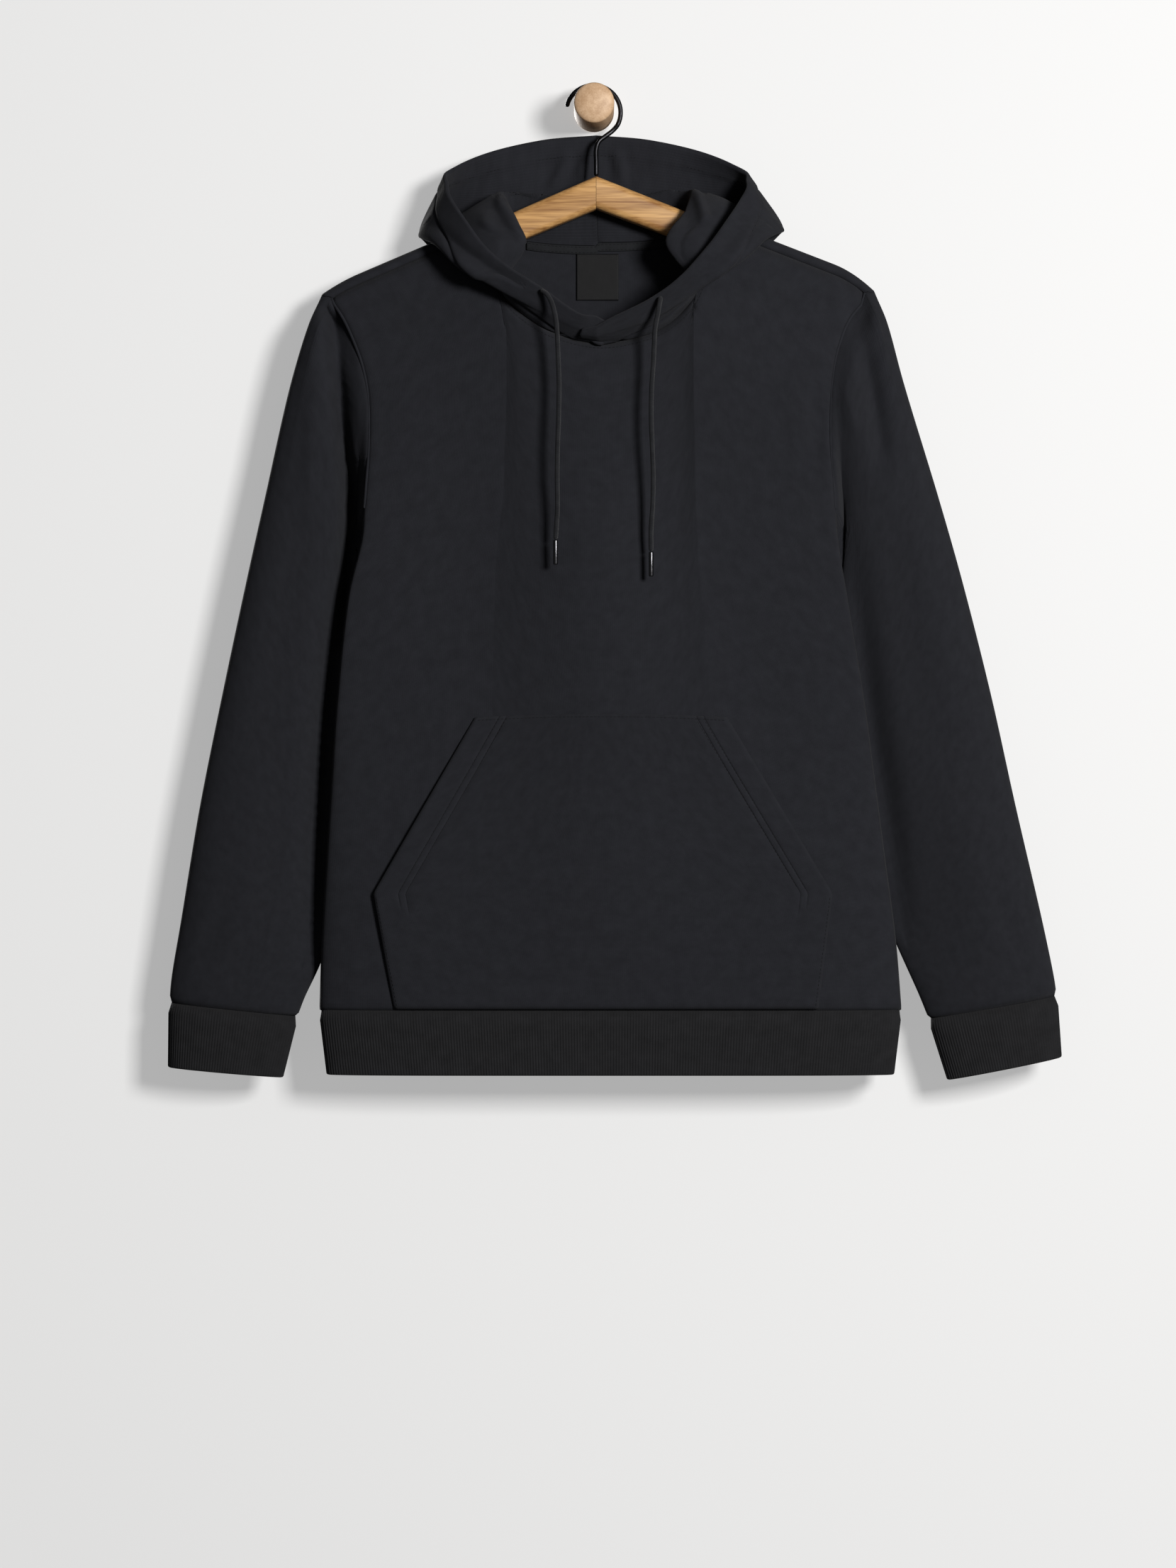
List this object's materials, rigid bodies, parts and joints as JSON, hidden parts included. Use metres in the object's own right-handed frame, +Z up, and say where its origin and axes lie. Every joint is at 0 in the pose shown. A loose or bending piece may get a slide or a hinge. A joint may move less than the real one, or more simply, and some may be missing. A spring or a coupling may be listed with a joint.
{
  "type": "pullover hoodie on a wooden hanger and wall peg",
  "caption": "Black fleece pullover hoodie with kangaroo pocket, ribbed cuffs and hem, drawstrings and laid-back hood, hanging on a wooden hanger from a wall peg.",
  "frame": {"origin": "centre of the peg's wall face, in the plane of the wall", "axes": "+Z up, +Y into the wall, so the garment's front faces -Y, and +X to the right of someone who faces it"},
  "size_m": [0.7635, 0.1032, 0.8551],
  "materials": {
    "fleece": "soft matt cotton fleece",
    "rib": "matt rib knit",
    "tape": "jersey tape",
    "label": "bare satin label",
    "cord": "braided cord",
    "aglet": "dark polished metal",
    "oak": "satin clear lacquer",
    "beech": "pale bare wood",
    "wire": "black satin wire"
  },
  "bodies": {
    "root": {"front_panel": "fleece", "back_panel": "fleece", "sleeve_left": "fleece", "sleeve_right": "fleece", "hood_left": "fleece", "hood_right": "fleece", "kangaroo_pocket": "fleece", "cuff_left": "rib", "cuff_right": "rib", "hem_band": "rib", "neck_tape": "tape", "neck_label": "label", "drawstring_left": "cord", "drawstring_right": "cord", "aglet_left": "aglet", "aglet_right": "aglet", "hanger_arm_left": "oak", "hanger_arm_right": "oak", "hanger_hook": "wire", "wall_peg": "beech"}
  },
  "joints": []
}
